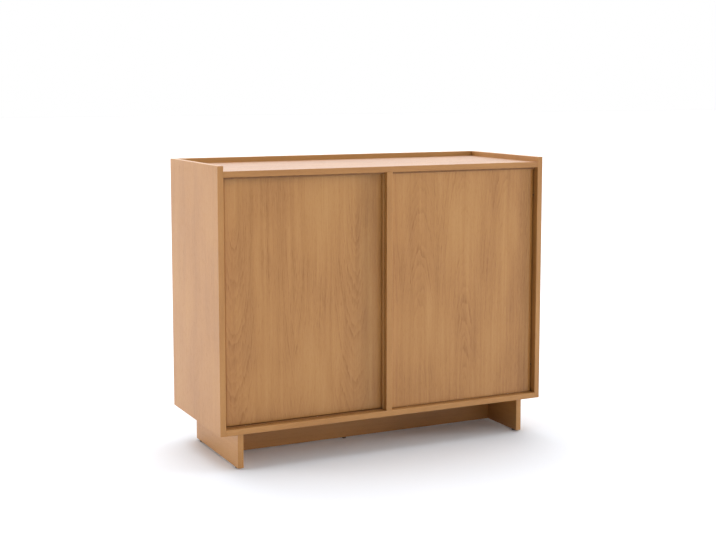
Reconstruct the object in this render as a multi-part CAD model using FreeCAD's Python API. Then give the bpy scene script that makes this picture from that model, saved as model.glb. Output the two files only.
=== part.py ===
import FreeCAD, Part
import os

Vector = FreeCAD.Vector
ORIGIN = Vector(0, 0, 0)
X_AXIS = Vector(1, 0, 0)
Y_AXIS = Vector(0, 1, 0)
Z_AXIS = Vector(0, 0, 1)

# Oak sideboard with two bypass sliding doors behind a fixed centre stile.
# Millimetres, +Z up, the front faces -Y, the origin is on the floor under the middle.

# Carcass
width = 1120.0
depth = 438.0
carcass_height = 800.0
board = 18.0
tray_lip = 16.0
gallery_thickness = 18.0
gallery_rebate = 5.0
arris = 0.8
back_thickness = 6.0
back_rebate = 9.0
mullion_width = 20.0
mullion_depth = 15.0
partition_thickness = 18.0
interior_setback = 52.0

# Joints between the boards: stopped tongues and tenons, let in with a small fit
fit = 0.1
tongue_thickness = 6.0
tongue_depth = 7.0
tongue_stop = 24.0
tenon_width = 10.0
stretcher_tenon_inset = 24.0

# Base
base_height = 112.0
leg_thickness = 18.0
leg_inset = 60.0
leg_front_setback = 16.0
leg_back_setback = 45.0
stretcher_thickness = 18.0
stretcher_setback = 192.0
glide_height = 5.0
glide_diameter = 15.0
glide_inset = 28.0
foot_offset = -62.0
foot_diameter = 13.0
base_screw_diameter = 5.0
base_screw_length = 50.0
base_screw_head = 10.0
base_screw_head_height = 3.5
base_screw_inset = 74.0

# Sliding doors
door_thickness = 12.0
door_setback = 17.0
door_gap = 2.5
door_overlap = 28.0
door_end_gap = 3.0
door_bottom_gap = 3.5
door_top_gap = 3.5
finger_bevel_width = 12.0
finger_bevel_depth = 5.0

# Double tracks
track_plate = 1.5
track_rib = 1.2
track_fascia_height = 3.5
track_rib_height = 2.5
top_groove_depth = 7.0
top_lip_drop = 6.0

# Door rollers, top guides and stops
roller_inset = 88.0
wheel_radius = 8.0
wheel_width = 4.0
wheel_running_gap = 0.3
axle_diameter = 3.0
axle_running_gap = 0.2
housing_length = 30.0
housing_width = 8.0
housing_height = 17.0
housing_slot_gap = 0.6
flange_length = 52.0
flange_thickness = 2.0
guide_length = 44.0
guide_height = 6.5
guide_running_gap = 0.4
guide_tenon_length = 24.0
guide_tenon_width = 6.0
guide_tenon_depth = 12.0
bumper_diameter = 6.0
bumper_gap = 0.3

# Shelves
shelf_height = 365.0
shelf_end_gap = 1.0
shelf_front_gap = 12.0
shelf_back_gap = 3.0
pin_diameter = 5.0
pin_depth = 8.0
pin_tongue_length = 9.0
pin_tongue_width = 10.0
pin_inset = 50.0

# Shared lines
front = -depth / 2
back = depth / 2
inner_half = width / 2 - board
bottom_top = base_height + board
carcass_top = base_height + carcass_height
top_surface = carcass_top - tray_lip
top_under = top_surface - board
back_face = back - back_thickness
leg_outer = width / 2 - leg_inset
leg_inner = leg_outer - leg_thickness
leg_front = front + leg_front_setback
leg_back = back - leg_back_setback
stretcher_front = front + stretcher_setback
stretcher_back = stretcher_front + stretcher_thickness
stretcher_middle = (stretcher_front + stretcher_back) / 2
front_door_face = front + door_setback
rear_door_face = front_door_face + door_thickness + door_gap
door_bottom = bottom_top + door_bottom_gap
door_top = top_under - door_top_gap
channel_play = (door_gap - track_rib) / 2
track_front = front_door_face - channel_play - track_rib
track_back = rear_door_face + door_thickness + channel_play + track_rib
axle_height = bottom_top + track_plate + wheel_running_gap + wheel_radius
partition_front = front + interior_setback
shelf_front = partition_front + shelf_front_gap
shelf_back = back_face - shelf_back_gap
shelf_under = bottom_top + shelf_height

nodes = {}
cuts = {}


def box(x0, x1, y0, y1, z0, z1):
    return Part.makeBox(x1 - x0, y1 - y0, z1 - z0, Vector(x0, y0, z0))


def rod(diameter, start, axis, length):
    return Part.makeCylinder(diameter / 2, length, start, axis)


def ease(solid, edges=None):
    """Take the sharp arris off the given edges, or off all of them."""
    return solid.makeChamfer(arris, edges or solid.Edges)


def mirrored(solid):
    return solid.mirror(ORIGIN, X_AXIS)


def edges_at(solid, coordinate, place, shortest):
    """Edges longer than shortest whose middle lies at a place along x, y or z."""
    edges = [edge for edge in solid.Edges if edge.Length > shortest]
    return [edge for edge in edges if abs(getattr(edge.CenterOfMass, coordinate) - place) < arris / 2]


def let_in(targets, x0, x1, y0, y1, z0, z1):
    """A tongue or tenon; the boards named in targets get its housing, larger by the fit."""
    for target in targets:
        housing = box(x0 - fit, x1 + fit, y0 - fit, y1 + fit, z0 - fit, z1 + fit)
        cuts.setdefault(target, []).append(housing)
    return box(x0, x1, y0, y1, z0, z1)


# Side panels: full height, rebated at the back for the back panel
def right_side_panel():
    panel = ease(box(inner_half, inner_half + board, front, back, base_height, carcass_top))
    rebate = box(inner_half, inner_half + back_rebate, back_face, back,
                 bottom_top - back_rebate, top_surface - back_rebate)
    return panel.cut(rebate)


# Top and bottom panels: held between the sides by stopped tongues, with the same rebate
def end_tongues(panel, under):
    low = under + (board - tongue_thickness) / 2
    reach = inner_half + tongue_depth
    span = (front + tongue_stop, back_face - back_rebate, low, low + tongue_thickness)
    left = let_in(["left_side_panel"], -reach, -inner_half, *span)
    right = let_in(["right_side_panel"], inner_half, reach, *span)
    return panel.fuse([left, right])


def top_panel():
    panel = box(-inner_half, inner_half, front, back, top_under, top_surface)
    panel = ease(panel, edges_at(panel, "y", front, board))
    rebate = box(-inner_half, inner_half, back_face, back, top_under, top_surface - back_rebate)
    groove = box(-inner_half, inner_half, track_front - fit, track_back + fit,
                 top_under, top_under + top_groove_depth)
    seat = box(-inner_half, inner_half, back - gallery_thickness, back,
               top_surface - gallery_rebate, top_surface)
    return end_tongues(panel.cut([rebate, groove, seat]), top_under)


def bottom_panel():
    panel = box(-inner_half, inner_half, front, back, base_height, bottom_top)
    panel = ease(panel, edges_at(panel, "y", front, board))
    rebate = box(-inner_half, inner_half, back_face, back, bottom_top - back_rebate, bottom_top)
    return end_tongues(panel.cut(rebate), base_height)


def back_panel():
    reach = inner_half + back_rebate
    return box(-reach, reach, back_face, back, bottom_top - back_rebate, top_surface - back_rebate)


# Fixed stile in the front frame, tenoned into the top and bottom panels
def centre_mullion():
    half = mullion_width / 2
    middle = front + mullion_depth / 2
    stile = box(-half, half, front, front + mullion_depth, bottom_top, top_under)
    stile = ease(stile, edges_at(stile, "z", (bottom_top + top_under) / 2, mullion_width))
    span = (-tenon_width / 2, tenon_width / 2, middle - tongue_thickness / 2, middle + tongue_thickness / 2)
    foot = let_in(["bottom_panel"], *span, bottom_top - tongue_depth, bottom_top)
    head = let_in(["top_panel"], *span, top_under, top_under + tongue_depth)
    return stile.fuse([foot, head])


# Partition behind the doors, which carries the inner ends of the shelves
def centre_partition():
    half = partition_thickness / 2
    panel = box(-half, half, partition_front, back_face, bottom_top, top_under)
    panel = ease(panel, edges_at(panel, "y", partition_front, partition_thickness))
    span = (-tongue_thickness / 2, tongue_thickness / 2,
            partition_front + tongue_stop, back_face - back_rebate)
    foot = let_in(["bottom_panel"], *span, bottom_top - tongue_depth, bottom_top)
    head = let_in(["top_panel"], *span, top_under, top_under + tongue_depth)
    return panel.fuse([foot, head])


# Low rail along the back of the tray top, glued into a shallow rebate of the top panel
def gallery_rail():
    rail = box(-inner_half, inner_half, back - gallery_thickness, back,
               top_surface - gallery_rebate, carcass_top)
    return ease(rail, edges_at(rail, "z", carcass_top, inner_half))


# Loose shelves, each on four pins that plug into the side panel and the partition
def right_shelf():
    start = partition_thickness / 2 + shelf_end_gap
    end = inner_half - shelf_end_gap
    return ease(box(start, end, shelf_front, shelf_back, shelf_under, shelf_under + board))


def shelf_pin(wall, inward, column):
    """A peg in the wall with a flat tongue under the shelf; inward is +1 or -1 along X."""
    half = pin_tongue_width / 2
    start = Vector(wall - inward * pin_depth, column, shelf_under - pin_diameter / 2)
    tip = wall + inward * pin_tongue_length
    tongue = box(min(wall, tip), max(wall, tip), column - half, column + half,
                 shelf_under - pin_diameter, shelf_under)
    return rod(pin_diameter, start, X_AXIS * inward, pin_depth).fuse(tongue)


def fit_shelf_pins():
    half = partition_thickness / 2
    walls = (("left_side_panel", -inner_half, 1), ("right_side_panel", inner_half, -1),
             ("centre_partition", -half, -1), ("centre_partition", half, 1))
    for wall_name, wall, inward in walls:
        for column in (shelf_front + pin_inset, shelf_back - pin_inset):
            nodes.setdefault("shelf_pins", []).append(shelf_pin(wall, inward, column))
            start = Vector(wall - inward * (pin_depth + fit), column, shelf_under - pin_diameter / 2)
            hole = rod(pin_diameter + 2 * fit, start, X_AXIS * inward, pin_depth + fit)
            cuts.setdefault(wall_name, []).append(hole)


# Double-channel tracks: a front fascia lip, a rib between the doors and a rear lip on a thin plate
def track(base, floor, fascia_end, rib_end):
    """An extrusion along X; base is the seat, floor the running face, the ends are the lips' heights."""
    rib_front = front_door_face + door_thickness + channel_play
    rear_lip = track_back - track_rib
    corners = [(track_front, base), (track_front, fascia_end), (track_front + track_rib, fascia_end)]
    corners += [(track_front + track_rib, floor), (rib_front, floor), (rib_front, rib_end)]
    corners += [(rib_front + track_rib, rib_end), (rib_front + track_rib, floor), (rear_lip, floor)]
    corners += [(rear_lip, rib_end), (track_back, rib_end), (track_back, base), (track_front, base)]
    outline = Part.makePolygon([Vector(-inner_half, y, z) for y, z in corners])
    return Part.Face(outline).extrude(X_AXIS * 2 * inner_half)


def bottom_track():
    return track(bottom_top, bottom_top + track_plate, bottom_top + track_fascia_height,
                 bottom_top + track_rib_height)


def top_track():
    seat = top_under + top_groove_depth
    lip_end = top_under - top_lip_drop
    return track(seat, seat - track_plate, lip_end, lip_end)


# Base: two leg panels along the depth, one stretcher tenoned between them, glides and a small middle foot
def right_leg_panel():
    return ease(box(leg_inner, leg_outer, leg_front, leg_back, glide_height, base_height))


def base_stretcher():
    rail = box(-leg_inner, leg_inner, stretcher_front, stretcher_back, glide_height, base_height)
    rail = ease(rail, edges_at(rail, "x", 0, leg_inner))
    half = tongue_thickness / 2
    span = (stretcher_middle - half, stretcher_middle + half,
            glide_height + stretcher_tenon_inset, base_height - stretcher_tenon_inset)
    left = let_in(["left_leg_panel"], -leg_inner - tongue_depth, -leg_inner, *span)
    right = let_in(["right_leg_panel"], leg_inner, leg_inner + tongue_depth, *span)
    return rail.fuse([left, right])


def fit_glides():
    leg_middle = (leg_inner + leg_outer) / 2
    rows = (leg_front + glide_inset, leg_back - glide_inset)
    nodes["leg_glides"] = [rod(glide_diameter, Vector(sign * leg_middle, y, 0), Z_AXIS, glide_height)
                           for sign in (-1, 1) for y in rows]
    foot_place = Vector(foot_offset, stretcher_middle, 0)
    nodes["stretcher_foot"] = [rod(foot_diameter, foot_place, Z_AXIS, glide_height)]


def base_screw(x, y, play=0.0):
    """A screw whose head is sunk flush in the bottom panel, or with some play the bore that it needs."""
    head_under = bottom_top - base_screw_head_height
    head = rod(base_screw_head + 2 * play, Vector(x, y, head_under), Z_AXIS, base_screw_head_height)
    shank = rod(base_screw_diameter + 2 * play, Vector(x, y, head_under), -Z_AXIS, base_screw_length + play)
    return head.fuse(shank)


def fit_base_screws():
    leg_middle = (leg_inner + leg_outer) / 2
    for leg_name, x in (("left_leg_panel", -leg_middle), ("right_leg_panel", leg_middle)):
        for y in (leg_front + base_screw_inset, leg_back - base_screw_inset):
            nodes.setdefault("base_screws", []).append(base_screw(x, y))
            for board_name in (leg_name, "bottom_panel"):
                cuts.setdefault(board_name, []).append(base_screw(x, y, fit))


# Rubber stops on the side panels, where the ends of both doors arrive
def fit_bumpers():
    thickness = door_end_gap - bumper_gap
    for sign in (-1, 1):
        for face in (front_door_face, rear_door_face):
            y = face + (door_thickness + finger_bevel_depth) / 2
            for z in (door_bottom + roller_inset, door_top - roller_inset):
                stop = rod(bumper_diameter, Vector(sign * inner_half, y, z), X_AXIS * -sign, thickness)
                nodes.setdefault("door_bumpers", []).append(stop)


# Doors: flat slabs with a finger bevel on the closing end, rollers below and guide shoes above
def door_slab(start, end, face, closing):
    """A slab from start to end along X; closing is -1 or +1, the end that has the bevel."""
    far = face + door_thickness
    close_x, other_x = (end, start) if closing > 0 else (start, end)
    corners = [(other_x, face), (close_x - closing * finger_bevel_width, face)]
    corners += [(close_x, face + finger_bevel_depth), (close_x, far), (other_x, far), (other_x, face)]
    plan = Part.makePolygon([Vector(x, y, door_bottom) for x, y in corners])
    return ease(Part.Face(plan).extrude(Z_AXIS * (door_top - door_bottom)))


def roller_wheel(x, y):
    """A nylon wheel with a bored hub, turning about an axle along Y."""
    start = Vector(x, y - wheel_width / 2, axle_height)
    bore = rod(axle_diameter + 2 * axle_running_gap, start, Y_AXIS, wheel_width)
    return rod(2 * wheel_radius, start, Y_AXIS, wheel_width).cut(bore)


def housing_block(x, y, play=0.0):
    """The let-in body and flange of a roller housing, or with some play its mortise in the door."""
    half = housing_width / 2 + play
    body_reach = housing_length / 2 + play
    flange_reach = flange_length / 2 + play
    body = box(x - body_reach, x + body_reach, y - half, y + half,
               door_bottom, door_bottom + housing_height + play)
    flange = box(x - flange_reach, x + flange_reach, y - half, y + half,
                 door_bottom, door_bottom + flange_thickness + play)
    return body.fuse(flange)


def roller_housing(x, y):
    reach = wheel_radius + housing_slot_gap
    side = wheel_width / 2 + housing_slot_gap
    slot = box(x - reach, x + reach, y - side, y + side, door_bottom, axle_height + reach)
    axle_start = Vector(x, y - housing_width / 2, axle_height)
    return housing_block(x, y).cut([slot, rod(axle_diameter + 2 * fit, axle_start, Y_AXIS, housing_width)])


def guide_tenon(x, y, play=0.0):
    reach = guide_tenon_length / 2 + play
    half = guide_tenon_width / 2 + play
    return box(x - reach, x + reach, y - half, y + half, door_top - guide_tenon_depth - play, door_top)


def guide_shoe(x, y):
    """A nylon shoe that runs between the lips of the top track, on a tenon let into the door."""
    half = door_thickness / 2 + channel_play - guide_running_gap
    shoe = box(x - guide_length / 2, x + guide_length / 2, y - half, y + half,
               door_top, door_top + guide_height)
    nose = [edge for edge in shoe.Edges if abs(edge.Length - guide_height) < arris / 2]
    return shoe.makeChamfer(half / 2, nose).fuse(guide_tenon(x, y))


def build_door(name, start, end, face, closing):
    y = face + door_thickness / 2
    slab = door_slab(start, end, face, closing)
    for side, x in (("left", start + roller_inset), ("right", end - roller_inset)):
        axle_start = Vector(x, y - housing_width / 2, axle_height)
        nodes[name + "_" + side + "_wheel"] = [roller_wheel(x, y)]
        nodes.setdefault(name + "_axles", []).append(rod(axle_diameter, axle_start, Y_AXIS, housing_width))
        nodes.setdefault(name + "_roller_housings", []).append(roller_housing(x, y))
        nodes.setdefault(name + "_guides", []).append(guide_shoe(x, y))
        slab = slab.cut([housing_block(x, y, fit), guide_tenon(x, y, fit)])
    nodes[name + "_panel"] = [slab]


# Put the cabinet together: every joint and fitting leaves its housing in the boards that hold it
boards = {
    "left_side_panel": mirrored(right_side_panel()),
    "right_side_panel": right_side_panel(),
    "top_panel": top_panel(),
    "bottom_panel": bottom_panel(),
    "back_panel": back_panel(),
    "centre_mullion": centre_mullion(),
    "centre_partition": centre_partition(),
    "gallery_rail": gallery_rail(),
    "left_shelf": mirrored(right_shelf()),
    "right_shelf": right_shelf(),
    "bottom_track": bottom_track(),
    "top_track": top_track(),
    "left_leg_panel": mirrored(right_leg_panel()),
    "right_leg_panel": right_leg_panel(),
    "base_stretcher": base_stretcher(),
}
fit_shelf_pins()
fit_glides()
fit_base_screws()
fit_bumpers()
for board_name, solid in boards.items():
    nodes[board_name] = [solid.cut(cuts[board_name]) if board_name in cuts else solid]

door_end = inner_half - door_end_gap
build_door("left_door", -door_end, door_overlap / 2, rear_door_face, -1)
build_door("right_door", -door_overlap / 2, door_end, front_door_face, 1)

os.makedirs("parts", exist_ok=True)
for node_name, solids in nodes.items():
    shape = solids[0] if len(solids) == 1 else Part.makeCompound(solids)
    shape.exportStep("parts/" + node_name + ".step")
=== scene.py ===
import bpy
import math
from mathutils import Matrix, Vector


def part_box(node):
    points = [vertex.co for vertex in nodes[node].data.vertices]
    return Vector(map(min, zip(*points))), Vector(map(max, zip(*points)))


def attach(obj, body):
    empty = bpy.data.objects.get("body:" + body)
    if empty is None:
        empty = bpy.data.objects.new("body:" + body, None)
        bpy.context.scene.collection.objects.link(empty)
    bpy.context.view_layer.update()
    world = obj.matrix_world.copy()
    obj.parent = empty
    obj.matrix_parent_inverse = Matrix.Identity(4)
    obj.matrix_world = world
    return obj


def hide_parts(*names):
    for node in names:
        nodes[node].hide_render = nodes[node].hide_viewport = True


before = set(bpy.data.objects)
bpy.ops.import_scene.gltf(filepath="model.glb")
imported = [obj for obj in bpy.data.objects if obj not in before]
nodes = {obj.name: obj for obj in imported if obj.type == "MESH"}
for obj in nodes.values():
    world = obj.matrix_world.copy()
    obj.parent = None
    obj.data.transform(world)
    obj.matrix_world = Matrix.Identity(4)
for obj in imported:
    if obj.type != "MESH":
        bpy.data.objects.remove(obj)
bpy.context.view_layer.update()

# Side panels: upright boards that carry the carcass and stand proud of the top as the ends of the tray.
# Oak veneer on an engineered core, the grain upright, lipped on the edges and satin lacquered.
# The top and bottom panels are let into them by tongues, so no fixing shows on the outside.


def linear(hex_colour):
    """An sRGB hex colour as linear red, green, blue and alpha."""
    values = [int(hex_colour[i:i + 2], 16) / 255 for i in (1, 3, 5)]
    return [v / 12.92 if v <= 0.04045 else ((v + 0.055) / 1.055) ** 2.4 for v in values] + [1.0]


def add_node(tree, kind, inputs=None, **settings):
    """A node with its settings; each input is a value, a socket, or a node whose first output is linked."""
    node = tree.nodes.new(kind)
    for name, value in settings.items():
        setattr(node, name, value)
    for name, value in (inputs or {}).items():
        source = value.outputs[0] if isinstance(value, bpy.types.Node) else value
        if isinstance(source, bpy.types.NodeSocket):
            tree.links.new(source, node.inputs[name])
        else:
            node.inputs[name].default_value = source
    return node


def arris_distance(tree, place, low, high):
    """The distance to the nearest arris of a box: the middle one of the three distances to its faces."""
    gap_low = add_node(tree, "ShaderNodeVectorMath", {0: place, 1: low}, operation="SUBTRACT")
    gap_high = add_node(tree, "ShaderNodeVectorMath", {0: high, 1: place}, operation="SUBTRACT")
    gap = add_node(tree, "ShaderNodeVectorMath", {0: gap_low, 1: gap_high}, operation="MINIMUM")
    gap = add_node(tree, "ShaderNodeSeparateXYZ", {0: gap})
    least = add_node(tree, "ShaderNodeMath", {0: gap.outputs[0], 1: gap.outputs[1]}, operation="MINIMUM")
    most = add_node(tree, "ShaderNodeMath", {0: gap.outputs[0], 1: gap.outputs[1]}, operation="MAXIMUM")
    most = add_node(tree, "ShaderNodeMath", {0: most, 1: gap.outputs[2]}, operation="MINIMUM")
    return add_node(tree, "ShaderNodeMath", {0: least, 1: most}, operation="MAXIMUM")


def dress(material, *names):
    """Give CAD nodes one material."""
    for name in names:
        nodes[name].data.materials.clear()
        nodes[name].data.materials.append(material)


# Satin lacquered oak veneer: crown-cut leaves side by side, with V figures between straight grain.
# The eye sees tan latewood, darker earlywood lines, fine pores and pale ray flecks under a soft sheen.
# Widths are real sizes across the grain, and DRAWN scales a pattern across, through and along the grain.
OAK_DARK = "#8d5a26"
OAK_MID = "#a8753c"
OAK_LIGHT = "#ba8b50"
DARK_AT = 0.1
MID_AT = 0.5
LIGHT_AT = 0.9
SEED_SPREAD = (1.0, 0.7, 0.3)
SOFT_DETAIL = 1.0
FINE_DETAIL = 3.0
SWAY_WIDTH = 0.25
SWAY_DRAWN = (1, 1, 0.15)
SWAY = 0.04
LEAF_WIDTH = 0.131
LEAF_TURN = 2.1
LEAF_TONE_TURN = 4.7
LEAF_CONTRAST = 0.035
HEART_REACH = 0.13
HEART_DEPTH = 0.05
RING_WIDTH = 0.0048
RING_SLOPE = 0.12
RING_GROUP = 0.02
RING_UNEVEN = 3.0
RAGGED_WIDTH = 0.012
RAGGED_DRAWN = (1, 1, 0.10)
RING_RAGGED = 1.6
RING_CONTRAST = 0.44
RING_MEAN = 0.1
FAINTEST_RING = 0.3
LATEWOOD = (0, 0, 0, 1)
EARLYWOOD = (1, 1, 1, 1)
EARLYWOOD_FADING = (0.7, 0.7, 0.7, 1)
EARLYWOOD_AT = 0.18
FADING_AT = 0.40
FIBRE_WIDTH = 0.0022
FIBRE_DRAWN = (1, 1, 0.07)
FIBRE_FROM = 0.35
FIBRE_TO = 0.65
FIBRE_FAINTEST = 0.2
DRIFT_WIDTH = 0.09
DRIFT_DRAWN = (1, 1, 0.35)
DRIFT_CONTRAST = 0.34
FADE_FROM = 0.40
FADE_TO = 0.60
FADE_FAINTEST = 0.25
STREAK_WIDTH = 0.012
STREAK_DRAWN = (1, 1, 0.03)
STREAK_CONTRAST = 0.50
PORE_WIDTH = 0.0011
PORE_FROM = 0.56
PORE_TO = 0.70
PORE_CONTRAST = 0.12
FLECK_WIDTH = 0.0022
FLECK_FROM = 0.62
FLECK_TO = 0.72
FLECK_CONTRAST = 0.06
# Paler arrises on the oak: partly rubbed wear and partly a painted highlight.
WEAR_AND_HIGHLIGHT_WIDTH = 0.0015
WEAR_AND_HIGHLIGHT_CORE = WEAR_AND_HIGHLIGHT_WIDTH / 4
WEAR_AND_HIGHLIGHT_CONTRAST = 0.10
LIPPING = 0.0013
LIPPING_SEAM = 0.0002
SEAM_CONTRAST = 0.12
LACQUER_IOR = 1.52
LACQUER_ROUGHNESS = 0.40
SWAY_ROUGHNESS = 1.2
PORE_ROUGHNESS = 0.12
PORE_DEPTH = 0.0002
PORE_BUMP = 0.25
EARLYWOOD_HOLLOW = 0.3


def lay_veneer(name, board, grain, seed, leaf_start=0.0, heart=0.0, turn=LEAF_TURN, slope=RING_SLOPE,
               figure=1.0, tone=0.0, face_painted_shade=0.0):
    """Lay oak veneer on a board; grain names its axes along, across and through the wood.

    heart and turn set which leaves have crowns, and the crowns point down where slope is negative.
    """
    material = bpy.data.materials.new(name)
    material.use_nodes = True
    tree = material.node_tree
    shader = tree.nodes["Principled BSDF"]
    low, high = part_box(board)
    middle = (low + high) / 2
    place = add_node(tree, "ShaderNodeTexCoord").outputs["Object"]
    own = add_node(tree, "ShaderNodeVectorMath", {0: place, 1: middle}, operation="SUBTRACT")
    axes = add_node(tree, "ShaderNodeSeparateXYZ", {0: own})
    along, across, through = [axes.outputs["XYZ".index(letter)] for letter in grain]
    run = add_node(tree, "ShaderNodeCombineXYZ", {0: across, 1: through, 2: along})
    start = [seed * share for share in SEED_SPREAD]
    run = add_node(tree, "ShaderNodeVectorMath", {0: run, 1: start}, operation="ADD")

    # The slow sway of the grain lines along the board
    slow = add_node(tree, "ShaderNodeVectorMath", {0: run, 1: SWAY_DRAWN}, operation="MULTIPLY")
    sway = add_node(tree, "ShaderNodeTexNoise",
                    {"Vector": slow, "Scale": 1 / SWAY_WIDTH, "Detail": SOFT_DETAIL})
    sway = add_node(tree, "ShaderNodeMath", {0: sway.outputs[0], 1: SWAY, 2: -SWAY / 2},
                    operation="MULTIPLY_ADD")

    # Each veneer leaf has its own heart line: crowns stand in some leaves and straight grain in others
    leaf = add_node(tree, "ShaderNodeMath", {0: across, 1: leaf_start}, operation="SUBTRACT")
    leaf = add_node(tree, "ShaderNodeMath", {0: leaf, 1: LEAF_WIDTH}, operation="DIVIDE")
    leaf = add_node(tree, "ShaderNodeMath", {0: leaf}, operation="FLOOR")
    leaf_middle = add_node(tree, "ShaderNodeMath", {0: leaf, 1: LEAF_WIDTH, 2: leaf_start + LEAF_WIDTH / 2},
                           operation="MULTIPLY_ADD")
    swing = add_node(tree, "ShaderNodeMath", {0: leaf, 1: turn, 2: heart}, operation="MULTIPLY_ADD")
    swing = add_node(tree, "ShaderNodeMath", {0: swing}, operation="SINE")
    heart_line = add_node(tree, "ShaderNodeMath", {0: swing, 1: HEART_REACH, 2: leaf_middle},
                          operation="MULTIPLY_ADD")
    side = add_node(tree, "ShaderNodeMath", {0: across, 1: heart_line}, operation="SUBTRACT")
    side = add_node(tree, "ShaderNodeMath", {0: side, 1: sway}, operation="ADD")

    # Growth rings are cut by the veneer knife at a slope, so they meet in nested V shapes on the heart line
    depth = add_node(tree, "ShaderNodeMath", {0: along, 1: slope, 2: HEART_DEPTH}, operation="MULTIPLY_ADD")
    depth = add_node(tree, "ShaderNodeMath", {0: depth, 1: through}, operation="ADD")
    section = add_node(tree, "ShaderNodeCombineXYZ", {0: side, 1: depth})
    radius = add_node(tree, "ShaderNodeVectorMath", {0: section}, operation="LENGTH").outputs["Value"]

    # Their spacing is uneven, their edges are ragged along the grain, and each has a strength of its own
    uneven = add_node(tree, "ShaderNodeTexNoise",
                      {"W": radius, "Scale": 1 / RING_GROUP, "Detail": SOFT_DETAIL}, noise_dimensions="1D")
    uneven = add_node(tree, "ShaderNodeMath", {0: uneven.outputs[0], 1: RING_UNEVEN, 2: seed},
                      operation="MULTIPLY_ADD")
    ragged = add_node(tree, "ShaderNodeVectorMath", {0: run, 1: RAGGED_DRAWN}, operation="MULTIPLY")
    ragged = add_node(tree, "ShaderNodeTexNoise",
                      {"Vector": ragged, "Scale": 1 / RAGGED_WIDTH, "Detail": FINE_DETAIL})
    ragged = add_node(tree, "ShaderNodeMath", {0: ragged.outputs[0], 1: RING_RAGGED, 2: uneven},
                      operation="MULTIPLY_ADD")
    ring = add_node(tree, "ShaderNodeMath", {0: radius, 1: 1 / RING_WIDTH, 2: ragged},
                    operation="MULTIPLY_ADD")
    count = add_node(tree, "ShaderNodeMath", {0: ring}, operation="FLOOR")
    strength = add_node(tree, "ShaderNodeTexWhiteNoise", {"W": count}, noise_dimensions="1D")
    strength = add_node(tree, "ShaderNodeMapRange",
                        {0: strength.outputs["Value"], 3: FAINTEST_RING, 4: 1.0})
    phase = add_node(tree, "ShaderNodeMath", {0: ring}, operation="FRACT")
    early = add_node(tree, "ShaderNodeValToRGB", {0: phase})
    early.color_ramp.elements[0].color = LATEWOOD
    early.color_ramp.elements[1].color = LATEWOOD
    early.color_ramp.elements.new(EARLYWOOD_AT).color = EARLYWOOD
    early.color_ramp.elements.new(FADING_AT).color = EARLYWOOD_FADING
    early = add_node(tree, "ShaderNodeMath", {0: early.outputs[0], 1: strength}, operation="MULTIPLY")

    # Earlywood is broken into fibres, and the figure comes and goes over a hand's breadth
    dash = add_node(tree, "ShaderNodeVectorMath", {0: run, 1: FIBRE_DRAWN}, operation="MULTIPLY")
    fibre = add_node(tree, "ShaderNodeTexNoise",
                     {"Vector": dash, "Scale": 1 / FIBRE_WIDTH, "Detail": SOFT_DETAIL})
    fibre = add_node(tree, "ShaderNodeMapRange",
                     {0: fibre.outputs[0], 1: FIBRE_FROM, 2: FIBRE_TO, 3: FIBRE_FAINTEST, 4: 1.0})
    broad = add_node(tree, "ShaderNodeVectorMath", {0: run, 1: DRIFT_DRAWN}, operation="MULTIPLY")
    drift = add_node(tree, "ShaderNodeTexNoise",
                     {"Vector": broad, "Scale": 1 / DRIFT_WIDTH, "Detail": SOFT_DETAIL})
    fade = add_node(tree, "ShaderNodeMapRange",
                    {0: drift.outputs[0], 1: FADE_FROM, 2: FADE_TO, 3: 1.0, 4: FADE_FAINTEST})
    figured = add_node(tree, "ShaderNodeMath", {0: early, 1: fibre}, operation="MULTIPLY")
    figured = add_node(tree, "ShaderNodeMath", {0: figured, 1: fade}, operation="MULTIPLY")

    # Streaks of colour along the leaves, and one tone for each leaf
    streak = add_node(tree, "ShaderNodeVectorMath", {0: run, 1: STREAK_DRAWN}, operation="MULTIPLY")
    streak = add_node(tree, "ShaderNodeTexNoise",
                      {"Vector": streak, "Scale": 1 / STREAK_WIDTH, "Detail": FINE_DETAIL})
    leaf_tone = add_node(tree, "ShaderNodeMath", {0: leaf, 1: LEAF_TONE_TURN, 2: seed},
                         operation="MULTIPLY_ADD")
    leaf_tone = add_node(tree, "ShaderNodeMath", {0: leaf_tone}, operation="SINE")
    balance = MID_AT + tone - (figure * STREAK_CONTRAST + DRIFT_CONTRAST) / 2
    balance += figure * RING_CONTRAST * RING_MEAN
    value = add_node(tree, "ShaderNodeMath",
                     {0: streak.outputs[0], 1: STREAK_CONTRAST * figure, 2: balance},
                     operation="MULTIPLY_ADD")
    value = add_node(tree, "ShaderNodeMath", {0: drift.outputs[0], 1: DRIFT_CONTRAST, 2: value},
                     operation="MULTIPLY_ADD")
    value = add_node(tree, "ShaderNodeMath", {0: leaf_tone, 1: LEAF_CONTRAST, 2: value},
                     operation="MULTIPLY_ADD")
    value = add_node(tree, "ShaderNodeMath", {0: figured, 1: -RING_CONTRAST * figure, 2: value},
                     operation="MULTIPLY_ADD")

    # Pores are fine dashes, ray flecks short pale ones; both are drawn three times as wide, to show
    pore = add_node(tree, "ShaderNodeTexNoise",
                    {"Vector": dash, "Scale": 1 / PORE_WIDTH, "Detail": SOFT_DETAIL})
    pore = add_node(tree, "ShaderNodeMapRange", {0: pore.outputs[0], 1: PORE_FROM, 2: PORE_TO})
    fleck = add_node(tree, "ShaderNodeTexNoise",
                     {"Vector": dash, "Scale": 1 / FLECK_WIDTH, "Detail": SOFT_DETAIL})
    fleck = add_node(tree, "ShaderNodeMapRange", {0: fleck.outputs[0], 1: FLECK_FROM, 2: FLECK_TO})
    value = add_node(tree, "ShaderNodeMath", {0: pore, 1: -PORE_CONTRAST, 2: value},
                     operation="MULTIPLY_ADD")
    value = add_node(tree, "ShaderNodeMath", {0: fleck, 1: FLECK_CONTRAST, 2: value},
                     operation="MULTIPLY_ADD")
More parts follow.
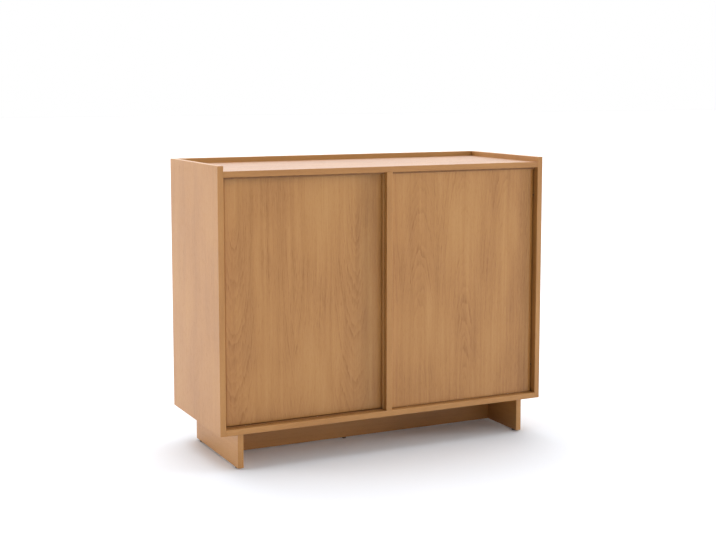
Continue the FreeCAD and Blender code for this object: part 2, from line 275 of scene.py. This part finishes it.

    # Painted shade: the broad faces can be made darker than the lippings, to stand in for less light
    # falling on them
    off_middle = add_node(tree, "ShaderNodeMath", {0: through}, operation="ABSOLUTE")
    half_board = (high - low)["XYZ".index(grain[2])] / 2
    face = add_node(tree, "ShaderNodeMath", {0: off_middle, 1: half_board - LIPPING_SEAM},
                    operation="GREATER_THAN")
    value = add_node(tree, "ShaderNodeMath", {0: face, 1: face_painted_shade, 2: value}, operation="MULTIPLY_ADD")

    # Arrises are made a little paler, partly as rubbed wear and partly as a painted highlight where the
    # edges catch the light; the lipping meets the face veneer in a hairline
    arris = arris_distance(tree, place, low, high)
    wear_and_highlight = add_node(tree, "ShaderNodeMapRange", {0: arris, 1: WEAR_AND_HIGHLIGHT_CORE, 2: WEAR_AND_HIGHLIGHT_WIDTH, 3: 1.0, 4: 0.0})
    value = add_node(tree, "ShaderNodeMath", {0: wear_and_highlight, 1: WEAR_AND_HIGHLIGHT_CONTRAST, 2: value},
                     operation="MULTIPLY_ADD")
    seam = add_node(tree, "ShaderNodeMath", {0: arris, 1: LIPPING, 2: LIPPING_SEAM}, operation="COMPARE")
    value = add_node(tree, "ShaderNodeMath", {0: seam, 1: -SEAM_CONTRAST, 2: value},
                     operation="MULTIPLY_ADD")

    colour = add_node(tree, "ShaderNodeValToRGB", {0: value})
    colour.color_ramp.elements[0].position = DARK_AT
    colour.color_ramp.elements[0].color = linear(OAK_DARK)
    colour.color_ramp.elements[1].position = LIGHT_AT
    colour.color_ramp.elements[1].color = linear(OAK_LIGHT)
    colour.color_ramp.elements.new(MID_AT).color = linear(OAK_MID)
    tree.links.new(colour.outputs[0], shader.inputs["Base Color"])

    # Satin lacquer lies thin, so the open pores stay as slight hollows and break up the sheen
    rough = add_node(tree, "ShaderNodeMath", {0: pore, 1: PORE_ROUGHNESS, 2: LACQUER_ROUGHNESS},
                     operation="MULTIPLY_ADD")
    rough = add_node(tree, "ShaderNodeMath", {0: sway, 1: SWAY_ROUGHNESS, 2: rough},
                     operation="MULTIPLY_ADD")
    tree.links.new(rough.outputs[0], shader.inputs["Roughness"])
    hollow = add_node(tree, "ShaderNodeMath", {0: early, 1: EARLYWOOD_HOLLOW, 2: pore},
                      operation="MULTIPLY_ADD")
    bump = add_node(tree, "ShaderNodeBump",
                    {"Strength": PORE_BUMP, "Distance": PORE_DEPTH, "Height": hollow}, invert=True)
    tree.links.new(bump.outputs[0], shader.inputs["Normal"])
    shader.inputs["IOR"].default_value = LACQUER_IOR
    dress(material, board)


UPRIGHT_SIDE = "ZYX"
SIDE_FIGURE = 0.45
SIDE_HEART = 1.3
SLOW_TURN = 0.3
lay_veneer("oak_veneer_left_side", "left_side_panel", UPRIGHT_SIDE, seed=3.1, leaf_start=0.02,
           heart=SIDE_HEART, turn=SLOW_TURN, figure=SIDE_FIGURE)
lay_veneer("oak_veneer_right_side", "right_side_panel", UPRIGHT_SIDE, seed=7.4, leaf_start=0.05,
           heart=SIDE_HEART, turn=SLOW_TURN, figure=SIDE_FIGURE)

# Top and bottom panels and the rail behind the tray: boards held between the sides.
# The same oak veneer, with the grain along the cabinet.
# The panels have tongues let into the sides, and the rail is glued into a rebate of the top.
LENGTHWISE_FLAT = "XYZ"
LENGTHWISE_RAIL = "XZY"
TOP_FIGURE = 0.8
# Painted shade: the whole top panel is made darker, and its broad faces darker again, to offset the strong
# overhead lamps on it.
TOP_PAINTED_SHADE = -0.12
TRAY_PAINTED_SHADE = -0.2
RAIL_FIGURE = 0.5
# Painted light: the rail's oak is made paler to stand in for the floor's bounce light that its face does
# not get.
RAIL_PAINTED_LIGHT = 0.28
RAIL_HEART = 1.2
lay_veneer("oak_veneer_top", "top_panel", LENGTHWISE_FLAT, seed=11.2, leaf_start=0.03, heart=0.4,
           figure=TOP_FIGURE, tone=TOP_PAINTED_SHADE, face_painted_shade=TRAY_PAINTED_SHADE)
lay_veneer("oak_veneer_bottom", "bottom_panel", LENGTHWISE_FLAT, seed=15.8, leaf_start=0.06, heart=1.3,
           figure=RAIL_FIGURE)
lay_veneer("oak_veneer_rail", "gallery_rail", LENGTHWISE_RAIL, seed=19.5, heart=RAIL_HEART,
           figure=RAIL_FIGURE, tone=RAIL_PAINTED_LIGHT)

# Inside: the back panel in its rebates, the partition let in between top and bottom, and the loose shelves.
# Oak veneer again, which stays a shade paler where no daylight reaches it.
UPRIGHT_FRONT = "ZXY"
INSIDE_TONE = 0.06
INSIDE_FIGURE = 0.6
lay_veneer("oak_veneer_back", "back_panel", UPRIGHT_FRONT, seed=23.7, leaf_start=0.01, heart=0.2,
           figure=INSIDE_FIGURE, tone=INSIDE_TONE)
lay_veneer("oak_veneer_partition", "centre_partition", UPRIGHT_SIDE, seed=27.1,
           figure=INSIDE_FIGURE, tone=INSIDE_TONE)
lay_veneer("oak_veneer_left_shelf", "left_shelf", LENGTHWISE_FLAT, seed=31.9,
           figure=INSIDE_FIGURE, tone=INSIDE_TONE)
lay_veneer("oak_veneer_right_shelf", "right_shelf", LENGTHWISE_FLAT, seed=35.3,
           figure=INSIDE_FIGURE, tone=INSIDE_TONE)

# Centre stile: the narrow fixed upright of the front frame.
# Straight-grained oak, tenoned into the top and bottom panels.
lay_veneer("oak_stile", "centre_mullion", UPRIGHT_FRONT, seed=39.6, leaf_start=0.05, heart=RAIL_HEART,
           figure=RAIL_FIGURE)

# Sliding doors: flat slabs, each face laid up from leaves of crown-cut oak veneer.
# They run on rollers let into their feet and are held upright by shoes in the top track.
# Crowns point down on the left door, in its first and fourth leaf, and up on the right one.
DOWNWARD_SLOPE = -0.13
lay_veneer("oak_veneer_left_door", "left_door_panel", UPRIGHT_FRONT, seed=43.2, leaf_start=-0.306,
           slope=DOWNWARD_SLOPE)
lay_veneer("oak_veneer_right_door", "right_door_panel", UPRIGHT_FRONT, seed=47.8, leaf_start=-0.218,
           heart=0.05, turn=SLOW_TURN)

# Base: two leg panels from front to back, and the stretcher between them.
# The same oak veneer, with the grain along each board.
# The stretcher is tenoned into the legs, and screws down through the bottom panel hold the legs.
LEG_GRAIN = "YZX"
lay_veneer("oak_veneer_left_leg", "left_leg_panel", LEG_GRAIN, seed=51.4, heart=RAIL_HEART,
           figure=RAIL_FIGURE)
lay_veneer("oak_veneer_right_leg", "right_leg_panel", LEG_GRAIN, seed=55.9, heart=RAIL_HEART,
           figure=RAIL_FIGURE)
lay_veneer("oak_veneer_stretcher", "base_stretcher", LENGTHWISE_RAIL, seed=59.3, heart=RAIL_HEART,
           figure=RAIL_FIGURE)

# Double tracks for the doors: extrusions of aluminium with a bronze-brown coat, fixed to the panels.
# The eye sees a satin brown close to the oak, with fine die lines along it and paler rubbed lips.
CLOUD_WIDTH = 0.02
CLOUD_DETAIL = 4.0
CLOUD_ROUGHNESS = 0.2
GRIT_DETAIL = 2.0
GRIT_BUMP = 0.2
GRIT_DEPTH = 0.1
WEAR_FROM = 0.15
WEAR_TO = 0.45
DIE_LINE = 0.0006
ALONG_TRACK = (0.02, 1, 1)


def fitting_finish(name, colour_hex, worn_hex, roughness, grit, metallic=0.0, stretch=(1, 1, 1),
                   worn_box=None):
    """A finish with cloudy colour, a fine surface of the given grit in metres, and arrises worn paler."""
    material = bpy.data.materials.new(name)
    material.use_nodes = True
    tree = material.node_tree
    shader = tree.nodes["Principled BSDF"]
    place = add_node(tree, "ShaderNodeTexCoord").outputs["Object"]
    drawn = add_node(tree, "ShaderNodeVectorMath", {0: place, 1: stretch}, operation="MULTIPLY")
    grain = add_node(tree, "ShaderNodeTexNoise",
                     {"Vector": drawn, "Scale": 1 / grit, "Detail": GRIT_DETAIL})
    cloud = add_node(tree, "ShaderNodeTexNoise",
                     {"Vector": place, "Scale": 1 / CLOUD_WIDTH, "Detail": CLOUD_DETAIL})
    wear = add_node(tree, "ShaderNodeMath", {0: grain.outputs[0], 1: cloud.outputs[0]},
                    operation="MULTIPLY")
    wear = add_node(tree, "ShaderNodeMapRange", {0: wear, 1: WEAR_FROM, 2: WEAR_TO})
    if worn_box:
        arris = arris_distance(tree, place, *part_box(worn_box))
        wear_and_highlight = add_node(tree, "ShaderNodeMapRange", {0: arris, 1: 0.0, 2: WEAR_AND_HIGHLIGHT_WIDTH, 3: 1.0, 4: 0.0})
        wear = add_node(tree, "ShaderNodeMath", {0: wear, 1: wear_and_highlight}, operation="MAXIMUM")
    colour = add_node(tree, "ShaderNodeValToRGB", {0: wear})
    colour.color_ramp.elements[0].color = linear(colour_hex)
    colour.color_ramp.elements[1].color = linear(worn_hex)
    tree.links.new(colour.outputs[0], shader.inputs["Base Color"])
    smoothest = roughness - CLOUD_ROUGHNESS / 2
    rough = add_node(tree, "ShaderNodeMath", {0: cloud.outputs[0], 1: CLOUD_ROUGHNESS, 2: smoothest},
                     operation="MULTIPLY_ADD")
    tree.links.new(rough.outputs[0], shader.inputs["Roughness"])
    bump = add_node(tree, "ShaderNodeBump",
                    {"Strength": GRIT_BUMP, "Distance": grit * GRIT_DEPTH, "Height": grain.outputs[0]})
    tree.links.new(bump.outputs[0], shader.inputs["Normal"])
    shader.inputs["Metallic"].default_value = metallic
    return material


for track in ("bottom_track", "top_track"):
    bronze_coat = fitting_finish("bronze_coat_" + track, "#75471c", "#92652f", roughness=0.45,
                                 grit=DIE_LINE, stretch=ALONG_TRACK, worn_box=track)
    dress(bronze_coat, track)

# Back screws: they hold the back panel in its rebates and to the partition, their heads just proud.
# Zinc-plated steel; the head is turned and its cross recess struck, as on all the screws here.
# The eye sees a pale, slightly cloudy metal, which the rollers' axles and the shelf pins share.
SPANGLE = 0.0015
QUARTER_TURN = math.radians(90)
CORNER_ANGLE = math.radians(30)
DISC_SIDES = 40
RIM_SEGMENTS = 4
RIM_PROFILE = 0.6
RIM_SHARE = 0.45
FLAT = 1e-6
UPRIGHT = 0.9
TIP_SHARE = 0.3
RECESS_SPAN = 0.6
RECESS_WIDTH = 0.14
BACK_EDGE = 0.0045
BACK_STAND = 0.0011
BACK_ROWS = 5
BACK_START = 0.06
BACK_PITCH = 0.22


def start_disc(name, diameter, height, sides=DISC_SIDES):
    """A disc under the origin, ready to be shaped."""
    bpy.ops.object.select_all(action="DESELECT")
    bpy.ops.mesh.primitive_cylinder_add(vertices=sides, radius=diameter / 2, depth=height,
                                        location=(0, 0, -height / 2))
    disc = bpy.context.object
    disc.name = name
    bpy.ops.object.transform_apply(location=True)
    return disc


def choose(piece, kind, wanted):
    """Leave the piece in edit mode with only those faces or edges selected that wanted accepts."""
    bpy.ops.object.mode_set(mode="EDIT")
    bpy.ops.mesh.select_mode(type=kind)
    bpy.ops.mesh.select_all(action="DESELECT")
    bpy.ops.object.mode_set(mode="OBJECT")
    for item in (piece.data.polygons if kind == "FACE" else piece.data.edges):
        item.select = wanted(item)
    bpy.ops.object.mode_set(mode="EDIT")


def round_rim(piece, level, diameter, offset):
    """Round the outer rim of a disc at a level along its axis."""
    corners = piece.data.vertices

    def on_rim(edge):
        ends = [corners[i].co for i in edge.vertices]
        return all(abs(end.z - level) < FLAT and end.xy.length > diameter * RIM_SHARE for end in ends)

    choose(piece, "EDGE", on_rim)
    bpy.ops.mesh.bevel(offset=offset, segments=RIM_SEGMENTS, profile=RIM_PROFILE)
    bpy.ops.object.mode_set(mode="OBJECT")


def cut_away(piece, cutter):
    """Take the cutter's shape out of the piece."""
    cut = piece.modifiers.new("cut", "BOOLEAN")
    cut.object = cutter
    cut.operation = "DIFFERENCE"
    bpy.context.view_layer.objects.active = piece
    bpy.ops.object.modifier_apply(modifier="cut")
    bpy.data.objects.remove(cutter)


def smooth_finish(piece, material):
    """Smooth the turned faces, keep the corners, and give the piece its material."""
    bpy.ops.object.select_all(action="DESELECT")
    piece.select_set(True)
    bpy.context.view_layer.objects.active = piece
    bpy.ops.object.shade_smooth_by_angle(angle=CORNER_ANGLE)
    piece.data.materials.append(material)


def set_copy(model, name, body, place, turn=Matrix()):
    """Copy a finished model, with a mesh of its own, to its place on a body."""
    piece = model.copy()
    piece.data = model.data.copy()
    piece.name = name
    piece.data.transform(Matrix.Translation(place) @ turn)
    bpy.context.scene.collection.objects.link(piece)
    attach(piece, body)
    return piece


def cross_screw(name, head, head_height, dome, shank, length):
    """A screw under the origin, its head rounded by dome, its shank tapered to a point."""
    screw = start_disc(name, head, head_height)
    choose(screw, "FACE", lambda face: face.normal.z < -UPRIGHT)
    bpy.ops.mesh.inset(thickness=(head - shank) / 2)
    bpy.ops.mesh.extrude_region_move(TRANSFORM_OT_translate={"value": (0, 0, -length)})
    bpy.ops.mesh.extrude_region_move(TRANSFORM_OT_translate={"value": (0, 0, -shank)})
    bpy.ops.transform.resize(value=(TIP_SHARE, TIP_SHARE, 1))
    bpy.ops.object.mode_set(mode="OBJECT")
    round_rim(screw, 0.0, head, dome)
    for turn in (0.0, QUARTER_TURN):
        bpy.ops.object.select_all(action="DESELECT")
        bpy.ops.mesh.primitive_cube_add(size=1.0, rotation=(0, 0, turn))
        blade = bpy.context.object
        blade.scale = (head * RECESS_SPAN, head * RECESS_WIDTH, head_height)
        cut_away(screw, blade)
    smooth_finish(screw, zinc)
    return screw


zinc = fitting_finish("zinc_plated_steel", "#9c9d9b", "#bfc0bd", roughness=0.35, grit=SPANGLE, metallic=1.0)
dress(zinc, "left_door_axles", "right_door_axles", "shelf_pins")
back_screw = cross_screw("back_screw", head=0.0062, head_height=0.0022, dome=0.0012, shank=0.003,
                         length=0.016)
back_low, back_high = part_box("back_panel")
toward_back = Matrix.Rotation(-QUARTER_TURN, 4, "X")
back_places = []
for row in range(BACK_ROWS):
    z = back_low.z + (BACK_START + row * BACK_PITCH) * (back_high.z - back_low.z)
    back_places += [(back_low.x + BACK_EDGE, z), (back_high.x - BACK_EDGE, z)]
for row in range(BACK_ROWS - 1):
    between = BACK_START + (row + 0.5) * BACK_PITCH
    x = back_low.x + between * (back_high.x - back_low.x)
    z = back_low.z + between * (back_high.z - back_low.z)
    back_places += [(x, back_low.z + BACK_EDGE), (x, back_high.z - BACK_EDGE), (0.0, z)]
for count, (x, z) in enumerate(back_places):
    set_copy(back_screw, f"back_screw_{count}", "carcass", (x, back_high.y + BACK_STAND, z),
             toward_back)
bpy.data.objects.remove(back_screw)

# Track screws: they hold the bottom track, beside the path of the wheels in each channel.
# The same zinc-plated steel, with flat heads let into the floor of the track.
TRACK_PLATE = 0.0015
TRACK_SCREW_STAND = 0.0001
TRACK_SCREW_COUNT = 5
TRACK_SCREW_PITCH = 0.235
BESIDE_WHEEL = 0.0043
track_screw = cross_screw("track_screw", head=0.0042, head_height=0.0012, dome=0.0003, shank=0.0022,
                          length=0.010)
track_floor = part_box("bottom_track")[0].z + TRACK_PLATE
for door in ("left_door", "right_door"):
    door_low, door_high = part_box(door + "_panel")
    line = (door_low.y + door_high.y) / 2 + BESIDE_WHEEL
    for count in range(TRACK_SCREW_COUNT):
        x = (count - (TRACK_SCREW_COUNT - 1) / 2) * TRACK_SCREW_PITCH
        set_copy(track_screw, f"{door}_track_screw_{count}", "carcass",
                 (x, line, track_floor + TRACK_SCREW_STAND))
bpy.data.objects.remove(track_screw)

# Base screws: they go down through the bottom panel into the leg panels.
# The same zinc-plated steel, with flat heads let in flush with the panel.
BASE_SCREW_INSET = 0.074


def leg_ends(inset):
    """A name and the place across and along for each end of both legs, at an inset from the end."""
    ends = []
    for leg in ("left", "right"):
        leg_low, leg_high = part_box(leg + "_leg_panel")
        leg_middle = (leg_low.x + leg_high.x) / 2
        ends.append((leg + "_front", leg_middle, leg_low.y + inset))
        ends.append((leg + "_rear", leg_middle, leg_high.y - inset))
    return ends


base_screw = cross_screw("base_screw", head=0.010, head_height=0.0035, dome=0.0004, shank=0.005,
                         length=0.045)
panel_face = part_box("base_screws")[1].z
for end, x, y in leg_ends(BASE_SCREW_INSET):
    piece = set_copy(base_screw, end + "_base_screw", "carcass", (x, y, panel_face))
    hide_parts("base_screws")
bpy.data.objects.remove(base_screw)

# Glides under the legs and the middle foot: moulded black polypropylene, each nailed on through its hollow.
# The eye sees a dark matt button with a rounded rim and a fine moulded texture.
GLIDE_RIM = 0.28
GLIDE_HOLLOW = 0.4
GLIDE_ROUND = 0.3
GLIDE_DIAMETER = 0.015
GLIDE_INSET = 0.028
MOULD_GRIT = 0.0008


def nail_glide(name, diameter, height):
    """A round glide under the origin."""
    button = start_disc(name, diameter, height)
    choose(button, "FACE", lambda face: face.normal.z < -UPRIGHT)
    bpy.ops.mesh.inset(thickness=diameter * GLIDE_RIM)
    bpy.ops.mesh.extrude_region_move(TRANSFORM_OT_translate={"value": (0, 0, height * GLIDE_HOLLOW)})
    bpy.ops.object.mode_set(mode="OBJECT")
    round_rim(button, -height, diameter, height * GLIDE_ROUND)
    smooth_finish(button, black_plastic)
    return button


black_plastic = fitting_finish("black_polypropylene", "#161513", "#2a2826", roughness=0.55, grit=MOULD_GRIT)
glide_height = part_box("left_leg_panel")[0].z
leg_glide = nail_glide("leg_glide", GLIDE_DIAMETER, glide_height)
for end, x, y in leg_ends(GLIDE_INSET):
    piece = set_copy(leg_glide, end + "_glide", "carcass", (x, y, glide_height))
    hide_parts("leg_glides")
bpy.data.objects.remove(leg_glide)
foot_low, foot_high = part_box("stretcher_foot")
foot_top = ((foot_low.x + foot_high.x) / 2, (foot_low.y + foot_high.y) / 2, foot_high.z)
middle_foot = nail_glide("middle_foot_model", foot_high.x - foot_low.x, foot_high.z)
piece = set_copy(middle_foot, "middle_foot", "carcass", foot_top)
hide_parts("stretcher_foot")
bpy.data.objects.remove(middle_foot)

# Roller housings: small blocks with a slot for the wheel, let into the feet of the doors.
# The same black polypropylene as the glides.
dress(black_plastic, "left_door_roller_housings", "right_door_roller_housings")

# Wheels: white nylon, moulded with a rim, a sunk web and a bored hub; each turns on its axle in a housing.
# The eye sees a milky plastic, a little grey where it runs.
WHEEL_SIDES = 56
WHEEL_RIM = 0.0022
WHEEL_WEB = 0.0018
WEB_DEPTH = 0.0006
TREAD_ROUND = 0.0005
AXLE_BORE = 0.0034
BORE_REACH = 3
white_nylon = fitting_finish("white_nylon", "#cfcabb", "#e4e1d5", roughness=0.42, grit=MOULD_GRIT)
wheel_low, wheel_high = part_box("left_door_left_wheel")
wheel_diameter = wheel_high.z - wheel_low.z
wheel_width = wheel_high.y - wheel_low.y
wheel = start_disc("wheel", wheel_diameter, wheel_width, WHEEL_SIDES)
choose(wheel, "FACE", lambda face: abs(face.normal.z) > UPRIGHT)
bpy.ops.mesh.inset(thickness=WHEEL_RIM, depth=-WEB_DEPTH)
bpy.ops.mesh.inset(thickness=WHEEL_WEB, depth=WEB_DEPTH)
bpy.ops.object.mode_set(mode="OBJECT")
round_rim(wheel, 0.0, wheel_diameter, TREAD_ROUND)
round_rim(wheel, -wheel_width, wheel_diameter, TREAD_ROUND)
cut_away(wheel, start_disc("bore", AXLE_BORE, BORE_REACH * wheel_width))
smooth_finish(wheel, white_nylon)
for station in ("left_door_left", "left_door_right", "right_door_left", "right_door_right"):
    wheel_low, wheel_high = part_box(station + "_wheel")
    hub = (wheel_low + wheel_high) / 2
    piece = set_copy(wheel, station + "_nylon_wheel", station + "_roller",
                     (hub.x, wheel_high.y, hub.z), toward_back)
    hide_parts(station + "_wheel")
bpy.data.objects.remove(wheel)

# Guide shoes: blocks that run in the top track, on tenons let into the doors' top edges.
# The same white nylon as the wheels.
dress(white_nylon, "left_door_guides", "right_door_guides")

# Door stops: domed buttons of grey rubber stuck to the side panels, where the ends of both doors arrive.
# The eye sees a dull grey with no shine.
STOP_DIAMETER = 0.006
STOP_DOME = 0.0014
STOP_BEHIND_FACE = 0.0085
STOP_INSET = 0.088
STOP_GAP = 0.0003
grey_rubber = fitting_finish("grey_rubber", "#45423f", "#5a5753", roughness=0.75, grit=MOULD_GRIT)
stop_low, stop_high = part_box("door_bumpers")
stop_height = stop_high.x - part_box("right_door_panel")[1].x - STOP_GAP
door_stop = start_disc("door_stop", STOP_DIAMETER, stop_height)
round_rim(door_stop, -stop_height, STOP_DIAMETER, STOP_DOME)
smooth_finish(door_stop, grey_rubber)
for wall, x, angle in (("left", stop_low.x, -QUARTER_TURN), ("right", stop_high.x, QUARTER_TURN)):
    off_wall = Matrix.Rotation(angle, 4, "Y")
    for door in ("left_door", "right_door"):
        door_low, door_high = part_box(door + "_panel")
        y = door_low.y + STOP_BEHIND_FACE
        for level, z in (("low", door_low.z + STOP_INSET), ("high", door_high.z - STOP_INSET)):
            piece = set_copy(door_stop, f"{wall}_{level}_stop_for_{door}", "carcass",
                             (x, y, z), off_wall)
            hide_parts("door_bumpers")
bpy.data.objects.remove(door_stop)

# Studio: a pale seamless floor, painted matt white, under broad soft lights.
# The lights stand overhead, in front, behind and low at both sides.
# They are far away, so their light is even over the floor and their shadows are soft.
FLOOR_REACH = 40.0
FLOOR_ROUGHNESS = 0.9
bpy.ops.object.select_all(action="DESELECT")
bpy.ops.mesh.primitive_plane_add(size=2 * FLOOR_REACH, location=(0, 0, 0))
floor = bpy.context.object
floor.name = "studio_floor"
floor_paint = bpy.data.materials.new("matt_white_paint")
floor_paint.use_nodes = True
floor_shader = floor_paint.node_tree.nodes["Principled BSDF"]
floor_shader.inputs["Base Color"].default_value = linear("#ebeff5")
floor_shader.inputs["Roughness"].default_value = FLOOR_ROUGHNESS
floor.data.materials.append(floor_paint)


def far_light(name, direction, spread, power):
    """A broad light far away in a direction, spread in degrees."""
    light = bpy.data.lights.new(name, "SUN")
    light.angle = math.radians(spread)
    light.energy = power
    lamp = bpy.data.objects.new(name, light)
    lamp.rotation_euler = (-Vector(direction)).to_track_quat("-Z", "Y").to_euler()
    bpy.context.scene.collection.objects.link(lamp)


far_light("overhead_rear_light", direction=(0.1, 0.42, 1), spread=80, power=2.45)
far_light("overhead_light", direction=(0.2, 0.2, 1), spread=80, power=1.05)
far_light("front_light", direction=(0.1, -1.0, 0.7), spread=60, power=1.18)
far_light("right_strip_light", direction=(1.0, -0.36, 0.12), spread=16, power=1.75)
far_light("low_left_light", direction=(-1, 0.4, 0.2), spread=40, power=2.45)
far_light("low_rear_light", direction=(0.3, 1.0, 0.35), spread=50, power=0.3)

# The surround is plain white to the eye. In reflections it is dim in front and bright behind.
# It lights nothing else: all other light is the lamps'.
FRONT_GLOW = 0.2
REAR_GLOW = 1.2
GLOW_SPAN = 0.5
world = bpy.data.worlds.new("studio_surround")
world.use_nodes = True
bpy.context.scene.world = world
surround = world.node_tree
facing = add_node(surround, "ShaderNodeTexCoord").outputs["Generated"]
facing = add_node(surround, "ShaderNodeSeparateXYZ", {0: facing})
glow = add_node(surround, "ShaderNodeMapRange",
                {0: facing.outputs[1], 1: -GLOW_SPAN, 2: GLOW_SPAN, 3: FRONT_GLOW, 4: REAR_GLOW})
ray = add_node(surround, "ShaderNodeLightPath")
glow = add_node(surround, "ShaderNodeMath", {0: glow, 1: ray.outputs["Is Glossy Ray"]},
                operation="MULTIPLY")
glow = add_node(surround, "ShaderNodeMath", {0: glow, 1: ray.outputs["Is Camera Ray"]},
                operation="MAXIMUM")
surround.links.new(glow.outputs[0], surround.nodes["Background"].inputs["Strength"])
surround.nodes["Background"].inputs["Color"].default_value = linear("#ffffff")

# Camera: a long lens at the front left, a little above the cabinet, for a picture of 716 by 540.
# It is fitted to the cabinet's straight edges; its place is in metres and its angles are in degrees.
SENSOR_WIDTH = 36.0
LENS = 64.71
LENS_SHIFT = -0.06
CAMERA_PLACE = (-1.8216, -3.7201, 1.1436)
CAMERA_DIP = 6.290
CAMERA_TURN = 26.060
camera_data = bpy.data.cameras.new("camera")
camera_data.sensor_width = SENSOR_WIDTH
camera_data.lens = LENS
camera_data.shift_y = LENS_SHIFT
camera = bpy.data.objects.new("camera", camera_data)
camera.location = CAMERA_PLACE
camera.rotation_euler = (math.radians(90 - CAMERA_DIP), 0, math.radians(-CAMERA_TURN))
bpy.context.scene.collection.objects.link(camera)
bpy.context.scene.camera = camera
bpy.context.scene.view_settings.view_transform = "Standard"
